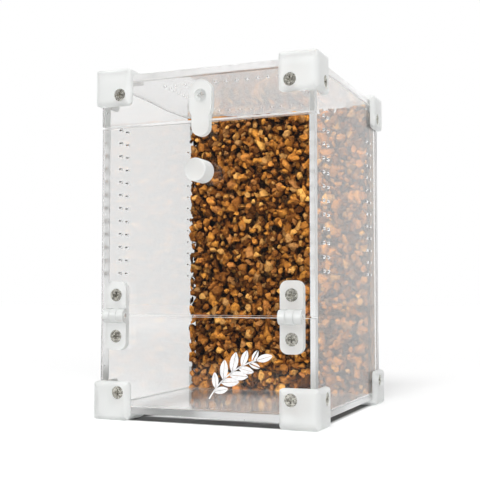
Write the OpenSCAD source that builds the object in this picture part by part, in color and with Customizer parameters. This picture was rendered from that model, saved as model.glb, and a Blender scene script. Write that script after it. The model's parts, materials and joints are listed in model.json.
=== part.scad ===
/* [Panels] */
// Width over the side panels
case_w = 100; // [80:1:160]
// Depth over the front and back panels
case_d = 106; // [90:1:160]
// Height over the bottom and top panels
case_h = 150; // [130:1:240]
// Thickness of every clear panel
panel_t = 3; // [2:0.5:4]

/* [Front] */
// Height of the fixed panel below the door
lower_front_h = 39.5; // [32:0.5:60]
// Height of the fixed strip above the door
top_strip_h = 20; // [18:1:30]
// Gap above and below the door
door_gap = 0.5; // [0.3:0.1:1]

/* [Corner brackets] */
// Thickness of a bracket's upright walls
bracket_t = 2.5; // [2:0.25:3.5]
// Thickness of its wall over the top or under the bottom
bracket_end_t = 3; // [2:0.25:4]
// Reach of its walls along the front or back of the case
bracket_reach = 15.5; // [14:0.5:22]
// Reach of its walls along the sides of the case
bracket_side_reach = 14; // [13.5:0.5:22]
// Reach of its upright walls up or down the panels
bracket_rise = 14; // [13:0.5:22]
// Rounding of the bracket's own corner edges
bracket_edge_r = 2.4; // [0.8:0.1:2.8]
// Rounding of the free corners of its walls
bracket_free_r = 2.2; // [1:0.1:4]
// Distance of the front and back screws from the side of the case
inset_x = 10; // [9:0.25:10.5]
// Distance of the side screws from the front or back of the case
inset_y = 8; // [7.5:0.25:10.5]
// Distance of the upright walls' screws from the top or bottom
inset_z = 9.25; // [8:0.25:10]

/* [Screws] */
// Thread diameter of the metal screws
screw_d = 3; // [2:0.5:4]
// Diameter of the countersunk heads
head_d = 5.5; // [4.5:0.1:6]
// Depth of the heads below the face that they are sunk in
head_sink = 0.3; // [0:0.1:0.6]
// Play of a screw in its hole, all round
screw_play = 0.1; // [0.05:0.05:0.3]
// Width of the latch's nut across flats
nut_w = 5.5; // [4:0.5:7]
// Thickness of the latch's nut
nut_t = 2.4; // [1.6:0.1:3]

/* [Hinges] */
// Width of a hinge along its pin
hinge_w = 10; // [8:0.5:16]
// Length of one leaf from the pin to its end
leaf_l = 15; // [13:0.5:20]
// Thickness of a leaf
leaf_t = 3; // [2:0.25:3.5]
// Distance of a hinge's middle from the side of the case
hinge_inset = 9.3; // [9:0.1:20]
// Distance of a leaf's screw from the pin
leaf_screw = 9; // [8:0.5:10]
// Diameter of the hinge barrel
barrel_d = 6.2; // [5:0.1:8]
// Diameter of the hinge pin
hinge_pin_d = 2; // [1.5:0.25:3]
// Play between moving parts, all round
play = 0.2; // [0.15:0.05:0.35]

/* [Knob and latch] */
// Diameter of the door knob
knob_d = 10; // [7:0.5:16]
// Length of the door knob
knob_l = 9; // [5:0.5:14]
// Distance of the knob's middle below the top edge of the door
knob_drop = 22; // [18:0.5:30]
// Width of the latch round its pivot
latch_w = 10.4; // [9:0.2:14]
// Width of the latch's tongue
tongue_w = 8.2; // [6:0.2:9]
// Thickness of the latch
latch_t = 3; // [2:0.25:4]
// Length of the latch above its pivot
latch_up = 7; // [5.5:0.25:8]
// Overlap of the tongue on the door
latch_lap = 7; // [4:0.5:10]
// Thickness of the washer behind the latch
washer_t = 0.4; // [0.3:0.1:1]

/* [Air holes] */
// Diameter of an air hole
vent_d = 1.5; // [1:0.1:2]
// Distance between air holes in the sides
side_pitch = 6; // [4:0.5:8]
// Rows of air holes in each side
side_rows = 12; // [4:1:14]
// Distance of the first column from the front or back of the case
side_vent_inset = 14; // [12:0.5:18]
// Distance of the top row below the top of the case
side_vent_drop = 22.3; // [19:0.1:30]
// Distance between air holes in the top
top_pitch = 5; // [4:0.5:6]
// Air holes along the front of the frame of holes in the top
top_cols = 12; // [6:1:12]
// Air holes along each side of that frame
top_rows = 13; // [6:1:13]
// Distance of that frame from the front of the case
top_vent_inset = 18; // [17:0.5:22]

/* [Cork background] */
// Thickness of the cork tile with its chips
cork_t = 18; // [15.5:0.5:20]
// Gap between the top of the tile and the top panel
cork_top_gap = 2; // [1:0.5:10]
// Gap between the tile and each side panel
cork_side_gap = 0.6; // [0.5:0.1:3]
// Size of one cork chip
chip = 6; // [5:0.5:10]
// Depth of the gaps between chips
chip_relief = 2.4; // [1:0.2:2.6]
// Thickness of the backing board behind the chips
board_t = 10; // [4:0.5:11]

/* [Hidden] */
$fn = 48;
LEFT = -1;
RIGHT = 1;
FRONT = -1;
BACK = 1;
LOWER = -1;
UPPER = 1;
X = 0;
Y = 1;
Z = 2;
cut = 1;
foot = bracket_end_t;
inner_h = case_h - 2 * panel_t;
hole_d = screw_d + 2 * screw_play;
mid_y = (knob_l - bracket_t) / 2; // centres the whole object with its knob on the origin
front_y = mid_y - case_d / 2;
back_y = mid_y + case_d / 2;
inner_front_y = front_y + panel_t;
inner_back_y = back_y - panel_t;
floor_z = foot + panel_t;
ceiling_z = foot + case_h - panel_t;
sill_z = floor_z + lower_front_h;
door_bottom_z = sill_z + door_gap;
lintel_z = ceiling_z - top_strip_h;
door_top_z = lintel_z - door_gap;
pin_z = sill_z + door_gap / 2;
pin_y = front_y - barrel_d / 2 - play;
knuckle_w = (hinge_w - 2 * play) / 3;
cone_h = (head_d - screw_d) / 2;
recess_w = head_d * 0.14;
recess_l = head_d * 0.52;
recess_depth = cone_h * 0.8;
latch_y = front_y - washer_t - play / 2;
latch_z = (lintel_z + ceiling_z) / 2;
latch_down = latch_z - door_top_z + latch_lap;
washer_d = 7;
tile_w = case_w - 2 * panel_t - 2 * cork_side_gap;
tile_h = inner_h - cork_top_gap;
tile_front_y = inner_back_y - cork_t;
board_front_y = inner_back_y - board_t;

CORNERS = [for (x = [LEFT, RIGHT], y = [FRONT, BACK], z = [LOWER, UPPER]) [x, y, z]];
function corners_on(axis, side) = [for (c = CORNERS) if (c[axis] == side) c];

// Moves a shape drawn at the lower front left corner of the panels to another corner.
module at_corner(c) {
    translate([c.x * case_w / 2, mid_y + c.y * case_d / 2, c.z > 0 ? foot + case_h : foot])
        mirror([c.x > 0 ? 1 : 0, 0, 0])
            mirror([0, c.y > 0 ? 1 : 0, 0])
                mirror([0, 0, c.z > 0 ? 1 : 0])
                    children();
}

// Points a shape drawn along +Z into the case, at the screw of one bracket wall.
module on_wall(axis) {
    if (axis == X)
        translate([-bracket_t, inset_y, inset_z]) rotate([0, 90, 0]) children();
    if (axis == Y)
        translate([inset_x, -bracket_t, inset_z]) rotate([-90, 0, 0]) children();
    if (axis == Z)
        translate([inset_x, inset_y, -bracket_end_t]) children();
}

// Points a shape drawn along +Z into the case, at the screw of a hinge leaf.
module at_leaf_screw(side, up) {
    translate([side * (case_w / 2 - hinge_inset), front_y - leaf_t, pin_z + up * leaf_screw])
        rotate([-90, 0, 0]) children();
}

// Points a shape drawn along +Z into the case, at the latch's pivot.
module at_latch_pivot(y) {
    translate([0, y, latch_z]) rotate([-90, 0, 0]) children();
}

module screw_hole(depth) {
    translate([0, 0, -cut]) cylinder(d = hole_d, h = depth + 2 * cut);
}

// Hole through a wall, widened for a head that lies just below its face.
module sunk_hole(wall) {
    screw_hole(wall);
    translate([0, 0, -cut]) cylinder(d = head_d + 2 * screw_play, h = head_sink + cut);
    translate([0, 0, head_sink])
        cylinder(d1 = head_d + 2 * screw_play, d2 = hole_d, h = (head_d + 2 * screw_play - hole_d) / 2);
}

module cross_recess() {
    for (turn = [0, 90])
        rotate(turn) translate([-recess_l / 2, -recess_w / 2, -cut]) cube([recess_l, recess_w, recess_depth + cut]);
}

// Countersunk screw in a wall, whose tip is flush with the far side.
module flat_screw(length) {
    translate([0, 0, head_sink]) difference() {
        union() {
            cylinder(d1 = head_d, d2 = screw_d, h = cone_h);
            cylinder(d = screw_d, h = length - head_sink);
        }
        cross_recess();
    }
}

module nut() {
    difference() {
        cylinder(d = nut_w / cos(30), h = nut_t, $fn = 6);
        translate([0, 0, -cut]) cylinder(d = hole_d, h = nut_t + 2 * cut);
    }
}

module plate(low, high) {
    translate(low) cube(high - low);
}

module panel_colour() {
    color([0.85, 0.92, 0.94, 0.35]) children();
}

module bracket_colour() {
    color([0.9, 0.92, 0.93, 0.75]) children();
}

module steel() {
    color("silver") children();
}

function wall(axis) = axis == Z ? bracket_end_t : bracket_t;

module wall_holes(axis, side) {
    for (c = corners_on(axis, side))
        at_corner(c) on_wall(axis) screw_hole(wall(axis) + panel_t);
}

module bottom_panel() {
    panel_colour() difference() {
        plate([-case_w / 2, front_y, foot], [case_w / 2, back_y, floor_z]);
        wall_holes(Z, LOWER);
    }
}

module top_vents() {
    x0 = -(top_cols - 1) * top_pitch / 2;
    for (i = [0 : top_cols - 1], j = [0 : top_rows - 1])
        if (i == 0 || i == top_cols - 1 || j == 0 || j == top_rows - 1)
            translate([x0 + i * top_pitch, front_y + top_vent_inset + j * top_pitch, ceiling_z - cut])
                cylinder(d = vent_d, h = panel_t + 2 * cut);
}

module top_panel() {
    panel_colour() difference() {
        plate([-case_w / 2, front_y, ceiling_z], [case_w / 2, back_y, foot + case_h]);
        wall_holes(Z, UPPER);
        top_vents();
    }
}

// Two columns of air holes near the front edge and two near the back.
module side_vents(side) {
    x = side * (case_w / 2 - panel_t / 2);
    for (end = [FRONT, BACK], column = [0, 1], row = [0 : side_rows - 1])
        translate([x, mid_y + end * (case_d / 2 - side_vent_inset - column * side_pitch),
                   foot + case_h - side_vent_drop - row * side_pitch])
            rotate([0, 90, 0]) cylinder(d = vent_d, h = panel_t + 2 * cut, center = true);
}

module side_panel(side) {
    outer = side * case_w / 2;
    inner = outer - side * panel_t;
    panel_colour() difference() {
        plate([min(outer, inner), inner_front_y, floor_z], [max(outer, inner), inner_back_y, ceiling_z]);
        wall_holes(X, side);
        side_vents(side);
    }
}

module back_panel() {
    panel_colour() difference() {
        plate([-case_w / 2, inner_back_y, floor_z], [case_w / 2, back_y, ceiling_z]);
        wall_holes(Y, BACK);
    }
}

module lower_front_panel() {
    panel_colour() difference() {
        plate([-case_w / 2, front_y, floor_z], [case_w / 2, inner_front_y, sill_z]);
        for (c = corners_on(Y, FRONT))
            if (c.z == LOWER) at_corner(c) on_wall(Y) screw_hole(bracket_t + panel_t);
        for (side = [LEFT, RIGHT]) at_leaf_screw(side, LOWER) screw_hole(leaf_t + panel_t);
    }
}

module top_front_strip() {
    panel_colour() difference() {
        plate([-case_w / 2, front_y, lintel_z], [case_w / 2, inner_front_y, ceiling_z]);
        for (c = corners_on(Y, FRONT))
            if (c.z == UPPER) at_corner(c) on_wall(Y) screw_hole(bracket_t + panel_t);
        at_latch_pivot(front_y) screw_hole(panel_t);
    }
}

module door_panel() {
    panel_colour() difference() {
        plate([-case_w / 2, front_y, door_bottom_z], [case_w / 2, inner_front_y, door_top_z]);
        for (side = [LEFT, RIGHT]) at_leaf_screw(side, UPPER) screw_hole(leaf_t + panel_t);
    }
}

// A turned knob whose front edge is rounded, seated on the door.
module door_knob() {
    edge = 0.6;
    bracket_colour() translate([0, front_y, door_top_z - knob_drop]) rotate([90, 0, 0]) {
        cylinder(d = knob_d, h = knob_l - edge);
        rotate_extrude() {
            square([knob_d / 2 - edge, knob_l]);
            intersection() {
                translate([knob_d / 2 - edge, knob_l - edge]) circle(r = edge);
                square([knob_d, knob_l]);
            }
        }
    }
}

// Outline across two walls: t1 and t2 thick, reaching r1 and r2 from their inner corner.
module bracket_outline(t1, t2, r1, r2) {
    e = bracket_edge_r;
    f = bracket_free_r;
    polygon([
        [e - t1, -t2], [r1 - t2, -t2], [r1, 0], [r1, r2 - f],
        [r1 - f, r2], [0, r2], [-t1, r2 - t1], [-t1, e - t2]
    ]);
    translate([e - t1, e - t2]) circle(r = e);
    translate([r1 - t2, 0]) circle(r = t2);
    translate([r1 - f, r2 - f]) circle(r = f);
    translate([0, r2 - t1]) circle(r = t1);
}

module bracket_prism(t, t1, t2, r, r1, r2) {
    translate([0, 0, -t]) linear_extrude(t + r) bracket_outline(t1, t2, r1, r2);
}

// Three walls that meet at a corner of the case and lie on its panels.
module bracket(c) {
    t = bracket_t;
    et = bracket_end_t;
    r = bracket_reach;
    sr = bracket_side_reach;
    er = bracket_rise;
    bracket_colour() at_corner(c) difference() {
        intersection() {
            bracket_prism(et, t, t, er, r, sr);
            rotate([90, 0, 90]) bracket_prism(t, t, et, r, sr, er);
            mirror([0, 1, 0]) rotate([90, 0, 0]) bracket_prism(t, t, et, sr, r, er);
        }
        cube([r + cut, sr + cut, er + cut]);
        for (axis = [X, Y, Z]) on_wall(axis) sunk_hole(wall(axis));
    }
}

module bracket_screws(axis, side) {
    steel() for (c = corners_on(axis, side)) at_corner(c) on_wall(axis) flat_screw(wall(axis) + panel_t);
}

// Moves a shape drawn round a pin along X to the pin of one hinge.
module at_hinge(side) {
    translate([side * (case_w / 2 - hinge_inset), pin_y, pin_z]) children();
}

// Cylinders of the barrel: the middle one belongs to the door, the outer two to the frame.
module knuckles(middle, d, spare) {
    step = knuckle_w + play;
    for (i = middle ? [0] : [-1, 1])
        translate([i * step, 0, 0]) rotate([0, 90, 0])
            cylinder(d = d, h = knuckle_w + 2 * spare, center = true);
}

// Plate from the pin to the leaf's round-cornered end, pointing down.
module leaf_plate() {
    r = hinge_w / 3;
    translate([0, front_y - pin_y, 0]) rotate([90, 0, 0]) linear_extrude(leaf_t) {
        translate([-hinge_w / 2, r - leaf_l]) square([hinge_w, leaf_l - r]);
        translate([r - hinge_w / 2, -leaf_l]) square([hinge_w - 2 * r, r]);
        for (end = [-1, 1]) translate([end * (hinge_w / 2 - r), r - leaf_l]) circle(r = r);
    }
}

module hinge_leaf(side, up) {
    door_leaf = up == UPPER;
    bracket_colour() difference() {
        at_hinge(side) {
            difference() {
                mirror([0, 0, door_leaf ? 1 : 0]) leaf_plate();
                knuckles(!door_leaf, barrel_d + 2 * play, play);
            }
            knuckles(door_leaf, barrel_d, 0);
        }
        at_hinge(side) rotate([0, 90, 0])
            cylinder(d = hinge_pin_d + screw_play, h = hinge_w + 2 * cut, center = true);
        at_leaf_screw(side, up) sunk_hole(leaf_t);
    }
}

module hinge_pin(side) {
    steel() at_hinge(side) rotate([0, 90, 0]) cylinder(d = hinge_pin_d, h = hinge_w, center = true);
}

module hinge_screws(up) {
    steel() for (side = [LEFT, RIGHT]) at_leaf_screw(side, up) flat_screw(leaf_t + panel_t);
}

// Outline of the latch with the pivot at its origin and the tongue pointing down.
module latch_outline() {
    lobe = latch_w / 2;
    tip = tongue_w / 2;
    translate([0, latch_up - lobe]) circle(r = lobe);
    translate([-lobe, -lobe]) square([latch_w, latch_up]);
    translate([0, -lobe]) circle(r = lobe);
    translate([-tip, tip - latch_down]) square([tongue_w, latch_down - tip]);
    translate([0, tip - latch_down]) circle(r = tip);
}

module latch_tab() {
    bracket_colour() difference() {
        translate([0, latch_y, latch_z]) rotate([90, 0, 0]) linear_extrude(latch_t) latch_outline();
        at_latch_pivot(latch_y - latch_t) sunk_hole(latch_t);
    }
}

module latch_washer() {
    bracket_colour() at_latch_pivot(front_y - washer_t) difference() {
        cylinder(d = washer_d, h = washer_t);
        translate([0, 0, -cut]) cylinder(d = hole_d, h = washer_t + 2 * cut);
    }
}

module latch_pivot_screw() {
    seat_y = latch_y - latch_t;
    bracket_colour() at_latch_pivot(seat_y) flat_screw(inner_front_y + nut_t - seat_y);
}

module latch_pivot_nut() {
    bracket_colour() at_latch_pivot(inner_front_y) nut();
}

// Chips of the cork tile: one random centre and height for each square of a grid.
chip_cols = ceil(tile_w / chip) + 2;
chip_rows = ceil(tile_h / chip) + 2;
chip_dx = rands(0.15, 0.85, chip_cols * chip_rows, 11);
chip_dz = rands(0.15, 0.85, chip_cols * chip_rows, 12);
chip_lift = rands(0.35, 1, chip_cols * chip_rows, 13);
grid_step = chip / 2;
grid_cols = round(tile_w / grid_step);
grid_rows = round(tile_h / grid_step);
edge_wave = rands(0, 1, 2 * (grid_cols + grid_rows) + 4, 14);

function chip_index(i, j) = i + 1 + chip_cols * (j + 1);
function chip_distance(u, w, i, j) =
    norm([u - i - chip_dx[chip_index(i, j)], w - j - chip_dz[chip_index(i, j)]]);
// Nearest chip to a point of the tile, as its distance and its height.
function nearest_chip(u, w) =
    let (i = floor(u), j = floor(w),
         found = [for (di = [-1 : 1], dj = [-1 : 1])
             let (a = min(max(i + di, -1), chip_cols - 2), b = min(max(j + dj, -1), chip_rows - 2))
             [chip_distance(u, w, a, b), chip_lift[chip_index(a, b)]]],
         least = min([for (f = found) f[0]]))
    [for (f = found) if (f[0] == least) f][0];
function cork_relief(x, z) =
    let (near = nearest_chip(x / chip, z / chip))
    chip_relief * near[1] * sqrt(max(0, 1 - near[0] * near[0]));
function on_rim(i, j) = i == 0 || j == 0 || i == grid_cols || j == grid_rows;
function pulled_in(k, n, size, wave) = k == 0 ? wave : k == n ? size - wave : k * size / n;
function grid_point(i, j, y) =
    let (wave = edge_wave[i + j] * chip_relief / 3,
         x = pulled_in(i, grid_cols, tile_w, wave),
         z = pulled_in(j, grid_rows, tile_h, j == 0 ? 0 : wave))
    [x - tile_w / 2, is_undef(y) ? tile_front_y + chip_relief - cork_relief(x, z) : y, floor_z + z];

// Backing board glued to the back panel.
module cork_board() {
    color("saddlebrown")
        plate([-tile_w / 2, board_front_y, floor_z], [tile_w / 2, inner_back_y, floor_z + tile_h]);
}

// Layer of chips: a lumpy front on a grid, straight edges and a flat back on the board.
module cork_face() {
    row = grid_cols + 1;
    rim = concat(
        [for (i = [0 : grid_cols]) [i, 0]],
        [for (j = [1 : grid_rows]) [grid_cols, j]],
        [for (i = [grid_cols - 1 : -1 : 0]) [i, grid_rows]],
        [for (j = [grid_rows - 1 : -1 : 1]) [0, j]]
    );
    n = len(rim);
    front = [for (j = [0 : grid_rows], i = [0 : grid_cols]) grid_point(i, j)];
    back = [for (r = rim) grid_point(r.x, r.y, board_front_y)];
    first_back = len(front);
    middle = first_back + n;
    color("sienna") polyhedron(
        points = concat(front, back, [[0, board_front_y, floor_z + tile_h / 2]]),
        faces = concat(
            [for (j = [0 : grid_rows - 1], i = [0 : grid_cols - 1]) let (a = i + row * j)
                [a, a + row, a + row + 1]],
            [for (j = [0 : grid_rows - 1], i = [0 : grid_cols - 1]) let (a = i + row * j)
                [a, a + row + 1, a + 1]],
            [for (k = [0 : n - 1]) let (m = (k + 1) % n, p = rim[k], q = rim[m])
                [p.x + row * p.y, q.x + row * q.y, first_back + m, first_back + k]],
            [for (k = [0 : n - 1]) [first_back + k, first_back + (k + 1) % n, middle]]
        )
    );
}

bottom_panel();
top_panel();
side_panel(LEFT);  // left_panel
side_panel(RIGHT);  // right_panel
back_panel();
lower_front_panel();
top_front_strip();
door_panel();
door_knob();
bracket([LEFT, FRONT, LOWER]);  // bracket_lower_front_left
bracket([RIGHT, FRONT, LOWER]);  // bracket_lower_front_right
bracket([LEFT, BACK, LOWER]);  // bracket_lower_back_left
bracket([RIGHT, BACK, LOWER]);  // bracket_lower_back_right
bracket([LEFT, FRONT, UPPER]);  // bracket_upper_front_left
bracket([RIGHT, FRONT, UPPER]);  // bracket_upper_front_right
bracket([LEFT, BACK, UPPER]);  // bracket_upper_back_left
bracket([RIGHT, BACK, UPPER]);  // bracket_upper_back_right
bracket_screws(Y, FRONT);  // front_bracket_screws
bracket_screws(Y, BACK);  // back_bracket_screws
bracket_screws(X, LEFT);  // left_bracket_screws
bracket_screws(X, RIGHT);  // right_bracket_screws
bracket_screws(Z, UPPER);  // top_bracket_screws
bracket_screws(Z, LOWER);  // bottom_bracket_screws
hinge_leaf(LEFT, LOWER);  // left_hinge_frame_leaf
hinge_leaf(RIGHT, LOWER);  // right_hinge_frame_leaf
hinge_leaf(LEFT, UPPER);  // left_hinge_door_leaf
hinge_leaf(RIGHT, UPPER);  // right_hinge_door_leaf
hinge_pin(LEFT);  // left_hinge_pin
hinge_pin(RIGHT);  // right_hinge_pin
hinge_screws(LOWER);  // hinge_frame_screws
hinge_screws(UPPER);  // hinge_door_screws
latch_tab();
latch_washer();
latch_pivot_screw();
latch_pivot_nut();
cork_board();
cork_face();
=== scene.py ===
"""Looks of a small clear case for insects: its sheets, brackets, hinges, cork wall and printed sprig."""

import json
import logging
import math
from dataclasses import dataclass, field
from enum import Enum

import bpy
import numpy as np
from mathutils import Euler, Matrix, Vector

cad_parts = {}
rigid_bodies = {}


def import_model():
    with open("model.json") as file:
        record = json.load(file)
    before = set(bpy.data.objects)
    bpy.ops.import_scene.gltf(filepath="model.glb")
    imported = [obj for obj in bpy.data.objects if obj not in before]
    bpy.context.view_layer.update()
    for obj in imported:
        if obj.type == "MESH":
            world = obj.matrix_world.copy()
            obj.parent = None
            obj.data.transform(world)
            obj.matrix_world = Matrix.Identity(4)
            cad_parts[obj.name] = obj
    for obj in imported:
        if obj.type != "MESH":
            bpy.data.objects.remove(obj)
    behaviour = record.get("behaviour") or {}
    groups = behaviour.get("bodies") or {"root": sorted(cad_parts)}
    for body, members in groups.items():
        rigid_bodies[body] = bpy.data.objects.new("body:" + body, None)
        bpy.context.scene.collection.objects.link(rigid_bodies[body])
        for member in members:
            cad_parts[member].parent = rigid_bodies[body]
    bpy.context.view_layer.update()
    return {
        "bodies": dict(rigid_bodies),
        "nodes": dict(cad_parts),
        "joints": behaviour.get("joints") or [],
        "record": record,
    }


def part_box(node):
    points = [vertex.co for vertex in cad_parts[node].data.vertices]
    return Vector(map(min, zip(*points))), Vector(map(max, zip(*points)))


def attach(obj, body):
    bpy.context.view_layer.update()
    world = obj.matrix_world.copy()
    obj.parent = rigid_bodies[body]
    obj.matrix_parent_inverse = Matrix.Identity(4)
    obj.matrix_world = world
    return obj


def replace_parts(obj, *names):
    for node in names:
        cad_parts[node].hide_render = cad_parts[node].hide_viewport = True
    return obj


LOG = logging.getLogger("case")
MM = 0.001
PICTURE_PX = 480
SENSOR_MM = 36.0
TONE = "tone"
WELD = 0.002 * MM
FRONT_LIGHT = 0.08
# Glossy depths just under one mirroring and just over two.
MIRRORED_ONCE, MIRRORED_TWICE = 0.5, 2.5

Socket = bpy.types.NodeSocket
Colour = tuple[float, float, float]
Place = tuple[float, float, float]
Span = tuple[float, float]
Stops = tuple[tuple[float, Colour], ...]


class Body(Enum):
    """The rigid groups that new pieces ride on."""

    FRAME = "frame"
    DOOR = "door"


class Slot(Enum):
    """The record's material slots."""

    SHEET = "clear_acrylic"
    MILKY = "milky_clear"
    BRACKET = "frosted_bracket"
    HINGE = "hinge_plastic"
    NYLON = "clear_nylon"
    SCREW = "screw_steel"
    PIN = "pin_steel"
    BOARD = "cork_board"
    CHIPS = "cork_chips"


@dataclass(frozen=True)
class Grain:
    """A noise texture: its waves per metre, octaves of finer noise and the finer octaves' share."""

    waves: float
    octaves: float
    share: float = 0.5


@dataclass(frozen=True)
class Relief:
    """A bump: its share of the full effect and the height of a full wave in metres."""

    strength: float
    depth: float


def rgba(colour: Colour) -> tuple[float, float, float, float]:
    """Return a colour with full alpha."""
    return (*colour, 1.0)


class NodeBench:
    """Short calls to add and join the nodes of one tree."""

    def __init__(self, tree: bpy.types.NodeTree) -> None:
        """Keep the tree."""
        self.tree = tree

    def add(self, kind: str, **settings: object) -> bpy.types.Node:
        """Add a node.

        Args:
            kind: The node's type without its ShaderNode prefix.
            settings: Its attributes and their values.

        Returns:
            The new node.
        """
        node = self.tree.nodes.new("ShaderNode" + kind)
        for name, value in settings.items():
            setattr(node, name, value)
        return node

    def join(self, source: Socket, target: Socket) -> None:
        """Link one socket to another."""
        self.tree.links.new(source, target)

    def spread(
        self, factor: Socket, low: float, high: float, start: float = 0.0, end: float = 1.0,
    ) -> Socket:
        """Map a factor from one range onto another.

        Args:
            factor: What is mapped.
            low: The result at the start.
            high: The result at the end.
            start: The factor's value at the start.
            end: Its value at the end.

        Returns:
            The result's socket.
        """
        node = self.add("MapRange")
        for socket, value in zip(("From Min", "From Max", "To Min", "To Max"), (start, end, low, high)):
            node.inputs[socket].default_value = value
        self.join(factor, node.inputs["Value"])
        return node.outputs["Result"]

    def maths(self, operation: str, first: Socket, second: Socket | float) -> Socket:
        """Work one number out of two.

        Args:
            operation: The Math node's operation.
            first: The first number.
            second: The second one, or a plain value.

        Returns:
            The result's socket.
        """
        node = self.add("Math", operation=operation)
        self.join(first, node.inputs[0])
        if isinstance(second, float):
            node.inputs[1].default_value = second
        else:
            self.join(second, node.inputs[1])
        return node.outputs[0]

    def mirrored_front(self, way: Socket, start: float, end: float) -> Socket:
        """Find what lies in front of the case and shows in a first or second reflection.

        Args:
            way: A direction or place, whose Y tells how far in front it is.
            start: The Y from which it counts.
            end: The Y from which it counts in full.

        Returns:
            A socket that is 1 there and 0 elsewhere.
        """
        mirrored = self.add("LightPath").outputs["Glossy Depth"]
        few = self.maths(
            "MULTIPLY",
            self.maths("GREATER_THAN", mirrored, MIRRORED_ONCE),
            self.maths("LESS_THAN", mirrored, MIRRORED_TWICE),
        )
        apart = self.add("SeparateXYZ")
        self.join(way, apart.inputs[0])
        return self.maths("MULTIPLY", few, self.spread(apart.outputs["Y"], 0.0, 1.0, start, end))


class NodeSheet(NodeBench):
    """A new material with a Principled shader."""

    def __init__(self, name: str) -> None:
        """Make the material.

        Args:
            name: The material's name.
        """
        self.material = bpy.data.materials.new(name)
        self.material.use_nodes = True
        super().__init__(self.material.node_tree)
        self.shader = self.tree.nodes["Principled BSDF"]
        self.output = self.tree.nodes["Material Output"]

    def put(self, **values: object) -> None:
        """Set the shader's own sockets, named with underscores for spaces."""
        for name, value in values.items():
            self.shader.inputs[name.replace("_", " ")].default_value = value

    def feed(self, name: str, source: Socket) -> None:
        """Link a socket to one of the shader's own."""
        self.join(source, self.shader.inputs[name])

    def place(self) -> Socket:
        """Return the piece's own coordinates."""
        return self.add("TexCoord").outputs["Object"]

    def noise(self, grain: Grain) -> Socket:
        """Add a noise texture on the piece's own coordinates.

        Args:
            grain: How coarse and how rough it is.

        Returns:
            Its value, from 0 to 1.
        """
        texture = self.add("TexNoise")
        settings = {"Scale": grain.waves, "Detail": grain.octaves, "Roughness": grain.share}
        for name, value in settings.items():
            texture.inputs[name].default_value = value
        self.join(self.place(), texture.inputs["Vector"])
        return texture.outputs["Fac"]

    def ramp(self, factor: Socket, stops: Stops) -> Socket:
        """Add a colour ramp.

        Args:
            factor: What drives it.
            stops: Places along it with their colours.

        Returns:
            Its colour socket.
        """
        node = self.add("ValToRGB")
        elements = node.color_ramp.elements
        while len(elements) < len(stops):
            elements.new(1.0)
        for element, (place, colour) in zip(elements, stops):
            element.position = place
            element.color = rgba(colour)
        self.join(factor, node.inputs["Fac"])
        return node.outputs["Color"]

    def times(self, first: Socket, second: Socket) -> Socket:
        """Multiply two colours.

        Args:
            first: The first colour.
            second: The second one.

        Returns:
            The product's socket.
        """
        node = self.add("Mix", data_type="RGBA", blend_type="MULTIPLY")
        node.inputs["Factor"].default_value = 1.0
        self.join(first, node.inputs[6])
        self.join(second, node.inputs[7])
        return node.outputs[2]

    def bump(self, height: Socket, relief: Relief) -> None:
        """Raise the surface in its shading.

        Args:
            height: What drives it.
            relief: How much it does.
        """
        node = self.add("Bump")
        node.inputs["Strength"].default_value = relief.strength
        node.inputs["Distance"].default_value = relief.depth
        self.join(height, node.inputs["Height"])
        self.feed("Normal", node.outputs["Normal"])

    def blend(self, factor: Socket, first: Socket, second: Socket) -> None:
        """Give the surface one shader or another.

        Args:
            factor: 0 for the first shader, 1 for the second one.
            first: The first shader.
            second: The second one.
        """
        mix = self.add("MixShader")
        for number, source in enumerate((factor, first, second)):
            self.join(source, mix.inputs[number])
        self.join(mix.outputs[0], self.output.inputs["Surface"])

    def let_lamps_through(self, colour: Colour) -> None:
        """Let lamps shine through the surface.

        Args:
            colour: What tints their light.
        """
        path = self.add("LightPath")
        clear = self.add("BsdfTransparent")
        clear.inputs["Color"].default_value = rgba(colour)
        self.blend(path.outputs["Is Shadow Ray"], self.shader.outputs[0], clear.outputs[0])


@dataclass(frozen=True)
class ClearSheet:
    """Clear acrylic, from a polished face with the faintest haze of handling to a sawn edge."""

    name: str = "clear_sheet"
    tint: Colour = (0.988, 0.99, 0.988)
    lamp_tint: Colour = (0.93, 0.935, 0.935)
    ior: float = 1.49
    haze: Grain = Grain(35.0, 4.0)
    roughness: Span = (0.0, 0.035)

    def material(self) -> bpy.types.Material:
        """Make the finish.

        Returns:
            The new material.
        """
        sheet = NodeSheet(self.name)
        sheet.put(Base_Color=rgba(self.tint), IOR=self.ior, Transmission_Weight=1.0)
        sheet.feed("Roughness", sheet.spread(sheet.noise(self.haze), *self.roughness))
        sheet.let_lamps_through(self.lamp_tint)
        return sheet.material


@dataclass(frozen=True)
class MilkyPlastic:
    """Translucent moulded plastic, from nearly clear to milky."""

    name: str
    transmission: float
    colour: Colour = (0.83, 0.838, 0.83)
    lamp_tint: Colour = (0.8, 0.81, 0.81)
    ior: float = 1.46
    grain: Grain = Grain(420.0, 3.0)
    relief: Relief = Relief(0.5, 0.01 * MM)
    roughness: Span = (0.28, 0.4)

    def material(self) -> bpy.types.Material:
        """Make the finish.

        Returns:
            The new material.
        """
        sheet = NodeSheet(self.name)
        sheet.put(Base_Color=rgba(self.colour), IOR=self.ior, Transmission_Weight=self.transmission)
        grain = sheet.noise(self.grain)
        sheet.feed("Roughness", sheet.spread(grain, *self.roughness))
        sheet.bump(grain, self.relief)
        sheet.let_lamps_through(self.lamp_tint)
        return sheet.material


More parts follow.
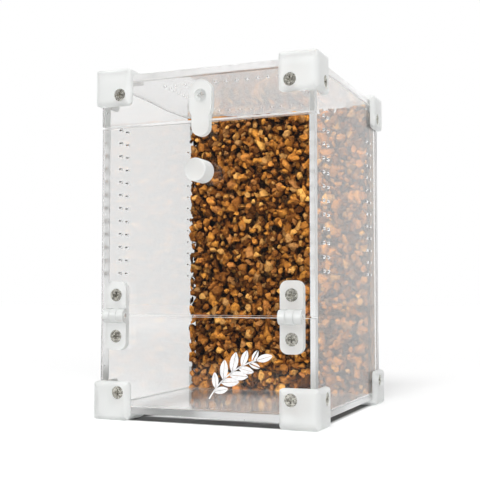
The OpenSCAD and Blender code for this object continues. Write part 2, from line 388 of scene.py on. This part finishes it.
@dataclass(frozen=True)
class Steel:
    """Plain screw steel, in random darker and lighter patches."""

    name: str = "screw_steel_look"
    light: Colour = (0.82, 0.8, 0.72)
    dark: Colour = (0.12, 0.11, 0.09)
    metal: float = 0.75
    patches: Grain = Grain(800.0, 5.0, 0.6)
    patch_blend: Span = (0.3, 0.62)
    relief: Relief = Relief(1.0, 0.45 * MM)
    roughness: Span = (0.12, 0.4)

    def material(self) -> bpy.types.Material:
        """Make the finish.

        Returns:
            The new material.
        """
        sheet = NodeSheet(self.name)
        sheet.put(Metallic=self.metal)
        patches = sheet.noise(self.patches)
        # the steel's colour goes from dark to light in random patches
        sheet.feed("Base Color", sheet.ramp(patches, tuple(zip(self.patch_blend, (self.dark, self.light)))))
        sheet.feed("Roughness", sheet.spread(patches, *self.roughness))
        sheet.bump(patches, self.relief)
        return sheet.material


@dataclass(frozen=True)
class PressedCork:
    """Fine dark cork granules pressed into a board."""

    name: str = "pressed_cork"
    granule_waves: float = 420.0
    stops: Stops = (
        (0.0, (0.035, 0.016, 0.006)), (0.45, (0.16, 0.075, 0.028)), (1.0, (0.36, 0.19, 0.075)),
    )
    relief: Relief = Relief(0.8, 0.6 * MM)
    roughness: float = 0.9
    shine: float = 0.06

    def material(self) -> bpy.types.Material:
        """Make the finish.

        Returns:
            The new material.
        """
        sheet = NodeSheet(self.name)
        cells = sheet.add("TexVoronoi")
        cells.inputs["Scale"].default_value = self.granule_waves
        sheet.join(sheet.place(), cells.inputs["Vector"])
        tone = sheet.add("SeparateColor")
        sheet.join(cells.outputs["Color"], tone.inputs["Color"])
        sheet.feed("Base Color", sheet.ramp(tone.outputs["Red"], self.stops))
        sheet.put(Roughness=self.roughness, Specular_IOR_Level=self.shine)
        sheet.bump(cells.outputs["Distance"], self.relief)
        return sheet.material


@dataclass(frozen=True)
class CorkChip:
    """Golden brown cork bark, whose tone changes from chip to chip and darkens in its pores, with painted
    shade deep between the chips.
    """

    front: float
    name: str = "cork_chip"
    pore: Grain = Grain(900.0, 4.0, 0.65)
    gap_depth: float = 5.2 * MM
    stops: Stops = (
        (0.0, (0.1, 0.036, 0.008)), (0.18, (0.29, 0.107, 0.021)), (0.36, (0.5, 0.204, 0.038)),
        (0.54, (0.67, 0.297, 0.053)), (0.7, (0.56, 0.224, 0.054)), (0.84, (0.43, 0.227, 0.083)),
        (1.0, (0.92, 0.5, 0.13)),
    )
    pores: Stops = ((0.3, (0.22, 0.15, 0.1)), (0.44, (0.85, 0.82, 0.78)), (0.68, (1.2, 1.18, 1.1)))
    painted_gap_shade_stops: Stops = (
        (0.0, (1.0, 1.0, 1.0)), (0.3, (0.93, 0.9, 0.86)), (0.65, (0.4, 0.33, 0.25)),
        (1.0, (0.05, 0.035, 0.025)),
    )
    relief: Relief = Relief(0.9, 0.25 * MM)
    roughness: float = 0.85
    shine: float = 0.06

    def painted_gap_shade(self, sheet: NodeSheet) -> Socket:
        """Paint shade on what lies deep between the chips, darker the deeper it lies.

        Args:
            sheet: The material that it is worked out in.

        Returns:
            The painted shade's socket.
        """
        apart = sheet.add("SeparateXYZ")
        sheet.join(sheet.place(), apart.inputs[0])
        depth = sheet.spread(apart.outputs["Y"], 0.0, 1.0, self.front, self.front + self.gap_depth)
        return sheet.ramp(depth, self.painted_gap_shade_stops)

    def material(self) -> bpy.types.Material:
        """Make the finish.

        Returns:
            The new material.
        """
        sheet = NodeSheet(self.name)
        tone = sheet.add("Attribute", attribute_name=TONE)
        colour = sheet.ramp(tone.outputs["Fac"], self.stops)
        pore = sheet.noise(self.pore)
        mottle = sheet.ramp(pore, self.pores)
        # the chip colour is multiplied by painted shade that darkens with depth between the chips
        sheet.feed("Base Color", sheet.times(sheet.times(colour, mottle), self.painted_gap_shade(sheet)))
        sheet.put(Roughness=self.roughness, Specular_IOR_Level=self.shine)
        sheet.bump(pore, self.relief)
        return sheet.material


@dataclass(frozen=True)
class PrintedWhite:
    """Slightly uneven white ink, printed on the clear sheet."""

    name: str = "printed_white"
    thin: Colour = (0.66, 0.65, 0.65)
    full: Colour = (0.84, 0.83, 0.83)
    mottle: Grain = Grain(700.0, 3.0)
    mottled: Span = (0.25, 0.5)
    roughness: float = 0.6

    def material(self) -> bpy.types.Material:
        """Make the finish.

        Returns:
            The new material.
        """
        sheet = NodeSheet(self.name)
        mottle = sheet.noise(self.mottle)
        sheet.feed("Base Color", sheet.ramp(mottle, tuple(zip(self.mottled, (self.thin, self.full)))))
        sheet.put(Roughness=self.roughness)
        return sheet.material


@dataclass(frozen=True)
class StudioFloor:
    """White floor that stays white to the horizon, with a painted shadow just inside the case's outline."""

    name: str = "studio_floor"
    colour: Colour = (0.86, 0.86, 0.86)
    painted_shadow: Colour = (0.03, 0.03, 0.03)
    roughness: float = 0.9
    near: float = 90.0 * MM
    far: float = 1200.0 * MM
    glow: Span = (0.13, 0.55)
    middle: Place = (0.0, 3.25 * MM, 0.0)
    half: Span = (50.0 * MM, 53.0 * MM)
    painted_shadow_stops: tuple[float, ...] = (0.0, 3.0 * MM, 14.0 * MM, 24.0 * MM)
    front: Span = (-100.0 * MM, -400.0 * MM)

    def depth_inside(self, sheet: NodeSheet) -> Socket:
        """Measure how far a point lies inside the outline of the case.

        Args:
            sheet: The material that it is worked out in.

        Returns:
            The depth in metres.
        """
        moved = sheet.add("VectorMath", operation="SUBTRACT")
        moved.inputs[1].default_value = self.middle
        sheet.join(sheet.place(), moved.inputs[0])
        size = sheet.add("VectorMath", operation="ABSOLUTE")
        sheet.join(moved.outputs[0], size.inputs[0])
        apart = sheet.add("SeparateXYZ")
        sheet.join(size.outputs[0], apart.inputs[0])
        across, along = (
            sheet.spread(apart.outputs[axis], half, 0.0, 0.0, half) for axis, half in zip("XY", self.half)
        )
        return sheet.maths("MINIMUM", across, along)

    def with_painted_shadow(self, sheet: NodeSheet) -> Socket:
        """Colour the floor white, with a painted shadow just inside the outline of the case.

        Args:
            sheet: The material that it is worked out in.

        Returns:
            The colour's socket.
        """
        deepest = self.painted_shadow_stops[-1]
        inside = sheet.spread(self.depth_inside(sheet), 0.0, 1.0, 0.0, deepest)
        places = [stop / deepest for stop in self.painted_shadow_stops]
        # painted shadow: the floor's colour is dark in a band just inside the case's outline
        return sheet.ramp(inside, tuple(zip(places, (self.colour, self.painted_shadow, self.painted_shadow, self.colour))))

    def glowing(self, sheet: NodeSheet, colour: Socket) -> Socket:
        """Let the floor shine towards the horizon, where it is looked at but not where it lights the case.

        Args:
            sheet: The material that it is worked out in.
            colour: The floor's colour.

        Returns:
            The shader's socket.
        """
        path = sheet.add("LightPath")
        seen = sheet.maths("MAXIMUM", path.outputs["Is Camera Ray"], path.outputs["Is Glossy Ray"])
        seen = sheet.maths("MAXIMUM", seen, path.outputs["Is Transmission Ray"])
        length = sheet.add("VectorMath", operation="LENGTH")
        sheet.join(sheet.place(), length.inputs[0])
        reach = sheet.spread(length.outputs["Value"], *self.glow, self.near, self.far)
        light = sheet.add("Emission")
        sheet.join(colour, light.inputs["Color"])
        sheet.join(sheet.maths("MULTIPLY", reach, seen), light.inputs["Strength"])
        return light.outputs[0]

    def material(self) -> bpy.types.Material:
        """Make the finish.

        Returns:
            The new material.
        """
        sheet = NodeSheet(self.name)
        sheet.put(Roughness=self.roughness)
        colour = self.with_painted_shadow(sheet)
        sheet.feed("Base Color", colour)
        both = sheet.add("AddShader")
        sheet.join(sheet.shader.outputs[0], both.inputs[0])
        sheet.join(self.glowing(sheet, colour), both.inputs[1])
        # painted dark reflection: where the sheets mirror the floor in front of the case once or twice, it
        # shows as a dim emission
        dark = sheet.add("Emission")
        dark.inputs["Strength"].default_value = FRONT_LIGHT
        mirrored = sheet.mirrored_front(sheet.place(), *self.front)
        sheet.blend(mirrored, both.outputs[0], dark.outputs[0])
        return sheet.material


@dataclass(frozen=True)
class SoftLamp:
    """A soft rectangular lamp aimed at the case."""

    name: str
    place: Place
    size: Span
    power: float
    aim: Place = (0.0, 0.0, 0.075)

    def build(self) -> None:
        """Add the lamp to the scene."""
        data = bpy.data.lights.new(self.name, "AREA")
        data.shape = "RECTANGLE"
        data.size, data.size_y = self.size
        data.energy = self.power
        lamp = bpy.data.objects.new(self.name, data)
        lamp.location = self.place
        lamp.rotation_euler = (Vector(self.aim) - Vector(self.place)).to_track_quat("-Z", "Y").to_euler()
        bpy.context.scene.collection.objects.link(lamp)


@dataclass
class Studio:
    """Camera, lamps, sky and floor. The camera's place and angles, in degrees, are fitted to the photo."""

    eye: Place = (162.39 * MM, -404.66 * MM, 55.02 * MM)
    yaw: float = 22.279
    pitch: float = 3.404
    focal_px: float = 915.1
    near_clip: float = 10.0 * MM
    sky_light: float = 0.55
    sky_front: Span = (-0.2, -0.6)
    floor_side: float = 8.0
    floor_drop: float = 0.02 * MM
    bounces: int = 32
    brightest: float = 3.0
    lamps: tuple[SoftLamp, ...] = (
        SoftLamp("key", (0.15, -0.95, 1.25), (0.5, 0.5), 15.0),
        SoftLamp("fill", (1.1, -0.9, 0.7), (0.7, 0.7), 4.0),
    )

    def build(self) -> None:
        """Set up the whole studio."""
        self.camera()
        self.sky()
        self.floor()
        for lamp in self.lamps:
            lamp.build()
        bpy.context.scene.view_settings.view_transform = "Standard"
        self.long_light_paths()

    def long_light_paths(self) -> None:
        """Let light run along inside the sheets, edge to edge, without stray sparks."""
        cycles = bpy.context.scene.cycles
        cycles.max_bounces = self.bounces
        cycles.glossy_bounces = self.bounces
        cycles.transmission_bounces = self.bounces
        cycles.transparent_max_bounces = self.bounces
        cycles.sample_clamp_direct = self.brightest
        cycles.sample_clamp_indirect = self.brightest

    def camera(self) -> None:
        """Stand the camera where the photograph was taken."""
        data = bpy.data.cameras.new("camera")
        data.sensor_width = SENSOR_MM
        data.lens = self.focal_px / PICTURE_PX * SENSOR_MM
        data.clip_start = self.near_clip
        camera = bpy.data.objects.new("camera", data)
        camera.location = self.eye
        camera.rotation_euler = Euler((math.radians(90 + self.pitch), 0.0, math.radians(self.yaw)))
        bpy.context.scene.collection.objects.link(camera)
        bpy.context.scene.camera = camera

    def sky(self) -> None:
        """Make a sky that shows white, lights more softly, and is dark where the sheets mirror its front."""
        world = bpy.data.worlds.new("white_sky")
        world.use_nodes = True
        bench = NodeBench(world.node_tree)
        background = world.node_tree.nodes["Background"]
        background.inputs["Color"].default_value = rgba((1.0, 1.0, 1.0))
        path = bench.add("LightPath")
        soft = bench.spread(path.outputs["Is Diffuse Ray"], 1.0, self.sky_light)
        front = bench.mirrored_front(bench.add("TexCoord").outputs["Generated"], *self.sky_front)
        strength = bench.maths("MULTIPLY", soft, bench.spread(front, 1.0, FRONT_LIGHT))
        bench.join(strength, background.inputs["Strength"])
        bpy.context.scene.world = world

    def floor(self) -> None:
        """Lay the white floor just under the brackets."""
        bpy.ops.mesh.primitive_plane_add(size=self.floor_side, location=(0, 0, -self.floor_drop))
        floor = bpy.context.object
        floor.name = "floor"
        floor.data.materials.append(StudioFloor().material())


def dress(piece: bpy.types.Object, material: bpy.types.Material) -> None:
    """Give a piece one material."""
    piece.data.materials.clear()
    piece.data.materials.append(material)


@dataclass
class PackedFinishes:
    """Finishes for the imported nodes, by material slot."""

    frame: dict
    finishes: dict[Slot, ClearSheet | MilkyPlastic | Steel | PressedCork] = field(default_factory=lambda: {
        Slot.SHEET: ClearSheet(),
        Slot.MILKY: MilkyPlastic("milky_clear_look", 0.55),
        Slot.BRACKET: MilkyPlastic("bracket_look", 0.5),
        Slot.HINGE: MilkyPlastic("hinge_look", 0.5),
        Slot.NYLON: MilkyPlastic("nylon_look", 0.8),
        Slot.SCREW: Steel(),
        Slot.PIN: Steel("pin_steel_look", light=(0.85, 0.85, 0.84), dark=(0.7, 0.7, 0.69)),
        Slot.BOARD: PressedCork(),
        Slot.CHIPS: PressedCork("chips_look"),
    })

    def apply(self) -> None:
        """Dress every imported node."""
        made = {slot: finish.material() for slot, finish in self.finishes.items()}
        for part in self.frame["record"]["subparts"]:
            dress(self.frame["nodes"][part["node"]], made[Slot(part["material_slot"])])
            LOG.info("dressed %s", part["node"])


def edit_all(piece: bpy.types.Object) -> None:
    """Open one piece in edit mode with all of it selected.

    Args:
        piece: The piece, which becomes the only one selected.
    """
    bpy.ops.object.select_all(action="DESELECT")
    piece.select_set(True)
    bpy.context.view_layer.objects.active = piece
    bpy.ops.object.mode_set(mode="EDIT")
    bpy.ops.mesh.select_all(action="SELECT")


def stop_editing() -> None:
    """Return to object mode."""
    bpy.ops.object.mode_set(mode="OBJECT")


def joined(pieces: list[bpy.types.Object], name: str) -> bpy.types.Object:
    """Join pieces into one whose place is in its mesh.

    Args:
        pieces: What to join.
        name: The new piece's name.

    Returns:
        The joined piece.
    """
    bpy.ops.object.select_all(action="DESELECT")
    for piece in pieces:
        piece.select_set(True)
    whole = pieces[0]
    bpy.context.view_layer.objects.active = whole
    bpy.ops.object.join()
    bpy.ops.object.transform_apply()
    whole.name = name
    return whole


def copy_of(piece: bpy.types.Object) -> bpy.types.Object:
    """Copy a piece and its mesh.

    Args:
        piece: What to copy.

    Returns:
        The copy.
    """
    copy = bpy.data.objects.new(piece.name, piece.data.copy())
    bpy.context.scene.collection.objects.link(copy)
    return copy


@dataclass
class ClearPanels:
    """The clear sheets, drawn in by a hair so that air parts them from what they touch."""

    frame: dict
    seam: float = 0.02 * MM
    eased: float = 0.25 * MM
    sharp: float = math.radians(30)
    facing: float = 0.9
    fixed: tuple[str, ...] = (
        "bottom_panel", "top_panel", "left_panel", "right_panel", "back_panel", "lower_front_panel",
        "top_front_strip",
    )
    moving: tuple[str, ...] = ("door_panel",)
    polished: ClearSheet = ClearSheet()
    sawn: ClearSheet = ClearSheet(
        "sawn_edge", tint=(1.0, 1.0, 1.0), haze=Grain(500.0, 3.0), roughness=(0.24, 0.38),
    )
    worn: dict[str, ClearSheet] = field(default_factory=lambda: {
        "bottom_panel": ClearSheet("bottom_sheet_look", roughness=(0.05, 0.11)),
        "top_panel": ClearSheet("top_sheet_look", tint=(1.0, 1.0, 1.0), ior=1.3, roughness=(0.07, 0.12)),
    })

    def build(self) -> None:
        """Build and dress all the sheets."""
        clear, edge = self.polished.material(), self.sawn.material()
        finishes = {name: finish.material() for name, finish in self.worn.items()}
        for names, body in ((self.fixed, Body.FRAME), (self.moving, Body.DOOR)):
            for name in names:
                piece = self.sheet(name)
                dress(piece, finishes.get(name, clear))
                self.saw_edges(piece, name, edge)
                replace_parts(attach(piece, body.value), name)
                LOG.info("sheet %s", name)

    def sheet(self, name: str) -> bpy.types.Object:
        """Build one sheet, a copy of its node with the seams opened and the edges eased.

        Args:
            name: The node that it stands for.

        Returns:
            The sheet.
        """
        piece = copy_of(self.frame["nodes"][name])
        piece.name = name + "_sheet"
        edit_all(piece)
        bpy.ops.mesh.customdata_custom_splitnormals_clear()
        bpy.ops.mesh.remove_doubles(threshold=WELD)
        stop_editing()
        low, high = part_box(name)
        for axis in range(3):
            self.draw_in(piece, axis, low[axis], self.seam)
            self.draw_in(piece, axis, high[axis], -self.seam)
        self.ease_edges(piece, low, high)
        bpy.ops.object.shade_smooth_by_angle(angle=self.sharp)
        return piece

    def saw_edges(self, piece: bpy.types.Object, name: str, material: bpy.types.Material) -> None:
        """Dress the narrow sides of a sheet.

        Args:
            piece: The sheet.
            name: The node that it stands for.
            material: The edges' finish.
        """
        low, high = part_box(name)
        thin = min(range(3), key=lambda axis: high[axis] - low[axis])
        piece.data.materials.append(material)
        for face in piece.data.polygons:
            outside = any(
                abs(face.center[axis] - side) < 2 * self.eased
                for axis in range(3) if axis != thin for side in (low[axis], high[axis])
            )
            face.material_index = int(outside and abs(face.normal[thin]) < self.facing)

    def ease_edges(self, piece: bpy.types.Object, low: Vector, high: Vector) -> None:
        """Break a sheet's outer edges, so that they catch the light as thin lines.

        Args:
            piece: The sheet, which is the only piece selected.
            low: Its lowest corner before its seams were opened.
            high: Its highest corner before that.
        """
        edit_all(piece)
        bpy.ops.mesh.select_all(action="DESELECT")
        bpy.ops.mesh.select_mode(type="EDGE")
        stop_editing()
        for edge in piece.data.edges:
            ends = [piece.data.vertices[index] for index in edge.vertices]
            sides = sum(
                all(abs(end.co[axis] - side) < 2 * self.seam for end in ends)
                for axis in range(3) for side in (low[axis], high[axis])
            )
            edge.select = sides == 2
            for end in ends:
                end.select = end.select or sides == 2
        bpy.ops.object.mode_set(mode="EDIT")
        bpy.ops.mesh.bevel(offset=self.eased, segments=1, affect="EDGES")
        bpy.ops.mesh.select_mode(type="VERT")
        stop_editing()

    def draw_in(self, piece: bpy.types.Object, axis: int, level: float, shift: float) -> None:
        """Move one flat side of a sheet.

        Args:
            piece: The sheet.
            axis: The axis that the side is square to.
            level: The side's place along that axis.
            shift: How far it moves along that axis.
        """
        edit_all(piece)
        bpy.ops.mesh.select_all(action="DESELECT")
        stop_editing()
        for vertex in piece.data.vertices:
            vertex.select = abs(vertex.co[axis] - level) < WELD
        bpy.ops.object.mode_set(mode="EDIT")
        step = [0.0, 0.0, 0.0]
        step[axis] = shift
        bpy.ops.transform.translate(value=step)
        stop_editing()


@dataclass(frozen=True)
class ChipLayer:
    """One layer of chips: their spacing, their sizes, and how far behind the tile's front they begin."""

    spacing: float
    size: Span
    behind: Span


@dataclass
class CorkTile:
    """Rough cork chips that fill the tile's front, from large and deep ones to small and near ones."""

    frame: dict
    layers: tuple[ChipLayer, ...] = (
        ChipLayer(5.2 * MM, (6.5 * MM, 9.0 * MM), (4.0 * MM, 5.0 * MM)),
        ChipLayer(3.4 * MM, (4.2 * MM, 7.0 * MM), (1.8 * MM, 3.4 * MM)),
        ChipLayer(3.8 * MM, (3.8 * MM, 8.0 * MM), (0.4 * MM, 2.2 * MM)),
        ChipLayer(7.2 * MM, (6.5 * MM, 12.5 * MM), (0.0 * MM, 1.2 * MM)),
    )
    seed: int = 7
    masters: int = 9
    squash: Span = (0.42, 0.9)
    cuts: int = 6
    cut_depth: Span = (0.08, 0.3)
    stray: float = 0.42
    row_shift: float = 0.5
    small_bias: float = 1.5
    sunk: float = 0.36
    side_play: float = 0.4 * MM
    top_play: float = 1.5 * MM
    dice: np.random.Generator = field(init=False)

    def build(self) -> None:
        """Build and dress the chips as one piece for each half of the tile."""
        self.dice = np.random.default_rng(self.seed)
        low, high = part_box("cork_face")
        masters = [self.master(index) for index in range(self.masters)]
        material = CorkChip(low[1]).material()
        halves: dict[bool, list[bpy.types.Object]] = {True: [], False: []}
        for layer in self.layers:
            for place in self.places(layer, low, high):
                chip = self.chip(masters, layer, place, low[1])
                halves[place[1] > (low[2] + high[2]) / 2].append(chip)
        for upper, chips in halves.items():
            tile = joined(chips, "upper_chips" if upper else "lower_chips")
            self.trim(tile, low, high)
            dress(tile, material)
            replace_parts(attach(tile, Body.FRAME.value), "cork_face")
            LOG.info("%s of %d chips, %d faces", tile.name, len(chips), len(tile.data.polygons))
        for master in masters:
            bpy.data.objects.remove(master)

    def master(self, index: int) -> bpy.types.Object:
        """Build an angular chip of unit length, a ball with its sides cut off.

        Args:
            index: Its number, for its name.

        Returns:
            The chip.
        """
        bpy.ops.mesh.primitive_ico_sphere_add(subdivisions=1, radius=0.5)
        chip = bpy.context.object
        chip.name = f"chip_{index}"
        edit_all(chip)
        bpy.ops.transform.resize(value=(1.0, *self.dice.uniform(*self.squash, 2)))
        for _ in range(self.cuts):
            normal = self.dice.normal(size=3)
            normal /= np.linalg.norm(normal)
            point = tuple(normal * self.dice.uniform(*self.cut_depth))
            bpy.ops.mesh.select_all(action="SELECT")
            bpy.ops.mesh.bisect(plane_co=point, plane_no=tuple(normal), use_fill=True, clear_outer=True)
        stop_editing()
        chip.data.attributes.new(TONE, "FLOAT", "FACE")
        return chip

    def places(self, layer: ChipLayer, low: Vector, high: Vector) -> list[Span]:
        """Scatter a layer's chips over the tile's front.

        Args:
            layer: The layer.
            low: The tile's lowest corner.
            high: Its highest corner.

        Returns:
            The X and Z of each chip.
        """
        found = []
        rows = round((high[2] - low[2]) / layer.spacing)
        columns = round((high[0] - low[0]) / layer.spacing)
        for row in range(rows + 1):
            for column in range(columns + 1):
                across, up = self.dice.uniform(-self.stray, self.stray, 2)
                across += self.row_shift * (row % 2 - 0.5)
                x = low[0] + (column + across) * (high[0] - low[0]) / columns
                z = low[2] + (row + up) * (high[2] - low[2]) / rows
                found.append((float(x), float(z)))
        return found

    def chip(
        self, masters: list[bpy.types.Object], layer: ChipLayer, place: Span, front: float,
    ) -> bpy.types.Object:
        """Put one chip in its place, with its own tone.

        Args:
            masters: The chips to copy.
            layer: The layer that it belongs to.
            place: Its X and Z.
            front: The Y of the tile's front.

        Returns:
            The chip.
        """
        chip = copy_of(masters[self.dice.integers(len(masters))])
        least, most = layer.size
        length = self.dice.uniform(0.0, 1.0) ** self.small_bias * (most - least) + least
        deep = front + self.dice.uniform(*layer.behind) + length * self.sunk
        chip.location = (place[0], deep, place[1])
        chip.rotation_euler = tuple(self.dice.uniform(0.0, math.tau, 3))
        chip.scale = (length, length, length)
        values = chip.data.attributes[TONE].data
        values.foreach_set("value", np.full(len(values), self.dice.uniform(0.0, 1.0), dtype=np.float32))
        return chip

    def trim(self, tile: bpy.types.Object, low: Vector, high: Vector) -> None:
        """Press the chips that stick out of the tile back to its sides, where they leave a ragged edge.

        Args:
            tile: The joined chips.
            low: The tile's lowest corner.
            high: Its highest corner.
        """
        points = np.empty(len(tile.data.vertices) * 3, dtype=np.float32)
        tile.data.vertices.foreach_get("co", points)
        points = points.reshape(-1, 3)
        least = (low[0] - self.side_play, low[1], low[2])
        most = (high[0] + self.side_play, None, high[2] + self.top_play)
        for axis in range(3):
            points[:, axis] = np.clip(points[:, axis], least[axis], most[axis])
        tile.data.vertices.foreach_set("co", points.ravel())
        tile.data.update()


@dataclass
class LeafSprig:
    """A white sprig printed on the lower front panel, of leaves in two halves along a bent stem."""

    middle: Span = (12.0 * MM, 21.5 * MM)
    radius: float = 36.0 * MM
    arc: float = math.radians(44)
    lean: float = math.radians(-38)
    stem: float = 0.55 * MM
    ink: float = 0.05 * MM
    vein: float = 0.3 * MM
    leaf: Span = (9.4 * MM, 4.0 * MM)
    pairs: int = 5
    spread: float = math.radians(42)
    first_pair: float = -0.34
    pairs_reach: float = 0.74
    stagger: float = 0.03
    widest_at: float = -0.05
    taper: float = 0.9
    tip_size: float = 0.8
    steps: int = 24
    leaf_steps: int = 96

    def build(self) -> None:
        """Build, place and dress the sprig."""
        sprig = joined([self.stalk(), *self.leaves()], "leaf_print")
        edit_all(sprig)
        bpy.ops.mesh.normals_make_consistent(inside=False)
        bpy.ops.mesh.extrude_region_move(TRANSFORM_OT_translate={"value": (0.0, 0.0, self.ink)})
        bpy.ops.mesh.select_all(action="SELECT")
        bpy.ops.mesh.normals_make_consistent(inside=False)
        stop_editing()
        low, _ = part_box("lower_front_panel")
        sprig.rotation_euler = (math.radians(90), 0.0, 0.0)
        sprig.location = (self.middle[0], low[1], self.middle[1])
        bpy.ops.object.transform_apply()
        dress(sprig, PrintedWhite().material())
        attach(sprig, Body.FRAME.value)
        LOG.info("print of %d faces", len(sprig.data.polygons))

    def from_hub(self, angle: float) -> Vector:
        """Return the way from the hub of the stem's arc to its point at an angle from +Y."""
        return self.radius * Vector((math.sin(angle), math.cos(angle), 0.0))

    def on_arc(self, share: float) -> tuple[Vector, float]:
        """Find a point of the stem.

        Args:
            share: How far along the stem it is, from -0.5 to 0.5.

        Returns:
            The point and the stem's direction there.
        """
        angle = self.lean + share * self.arc
        return self.from_hub(angle) - self.from_hub(self.lean), math.atan2(-math.sin(angle), math.cos(angle))

    def stalk(self) -> bpy.types.Object:
        """Build the stem, a short edge across its start that is spun about the arc's hub.

        Returns:
            The stem.
        """
        bpy.ops.mesh.primitive_plane_add(size=self.stem)
        stalk = bpy.context.object
        edit_all(stalk)
        bpy.ops.transform.resize(value=(0.0, 1.0, 1.0))
        bpy.ops.mesh.remove_doubles(threshold=WELD)
        stop_editing()
        start, along = self.on_arc(-0.5)
        stalk.location = start
        stalk.rotation_euler = (0.0, 0.0, along)
        bpy.ops.object.transform_apply()
        edit_all(stalk)
        hub = -self.from_hub(self.lean)
        bpy.ops.mesh.spin(steps=self.steps, angle=self.arc, center=hub, axis=(0.0, 0.0, 1.0))
        stop_editing()
        return stalk

    def half_leaf(self, length: float, width: float, side: int) -> bpy.types.Object:
        """Build one half of a leaf that starts at the origin and points along +X.

        Args:
            length: From its stalk to its tip.
            width: Across both halves.
            side: 1 for the half above the vein, -1 for the one below.

        Returns:
            The half.
        """
        rise = width / 2
        radius = (length ** 2 / 4 + rise ** 2) / (2 * rise)
        middle = (length / 2, side * (rise - radius), 0.0)
        bpy.ops.mesh.primitive_circle_add(
            vertices=self.leaf_steps, radius=radius, fill_type="NGON", location=middle,
        )
        half = bpy.context.object
        edit_all(half)
        bpy.ops.mesh.bisect(
            plane_co=(0.0, side * self.vein / 2, 0.0), plane_no=(0.0, float(side), 0.0), clear_inner=True,
        )
        stop_editing()
        bpy.ops.object.transform_apply()
        return half

    def leaves(self) -> list[bpy.types.Object]:
        """Build the leaves, in pairs along the stem and one at its tip.

        Returns:
            Both halves of each leaf.
        """
        pieces = []
        for number in range(self.pairs):
            share = self.first_pair + self.pairs_reach * number / (self.pairs - 1)
            size = 1.0 - self.taper * abs(share - self.widest_at)
            for side in (1, -1):
                pieces += self.leaf_at(share + self.stagger * side, side * self.spread, size)
        return pieces + self.leaf_at(0.5, 0.0, self.tip_size)

    def leaf_at(self, share: float, turn: float, size: float) -> list[bpy.types.Object]:
        """Build one leaf, turned away from the stem at a point of it.

        Args:
            share: How far along the stem it is, from -0.5 to 0.5.
            turn: Its angle to the stem.
            size: Its size as a share of the largest leaf's.

        Returns:
            The leaf's two halves.
        """
        point, along = self.on_arc(share)
        halves = [self.half_leaf(self.leaf[0] * size, self.leaf[1] * size, side) for side in (1, -1)]
        for half in halves:
            half.rotation_euler = (0.0, 0.0, along + turn)
            half.location = point
        return halves


def main() -> None:
    """Build the scene's classes in order."""
    logging.basicConfig(level=logging.INFO, format="%(name)s: %(message)s")
    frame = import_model()
    bpy.ops.object.select_all(action="DESELECT")
    Studio().build()
    PackedFinishes(frame).apply()
    ClearPanels(frame).build()
    CorkTile(frame).build()
    LeafSprig().build()


if __name__ == "__main__":
    main()
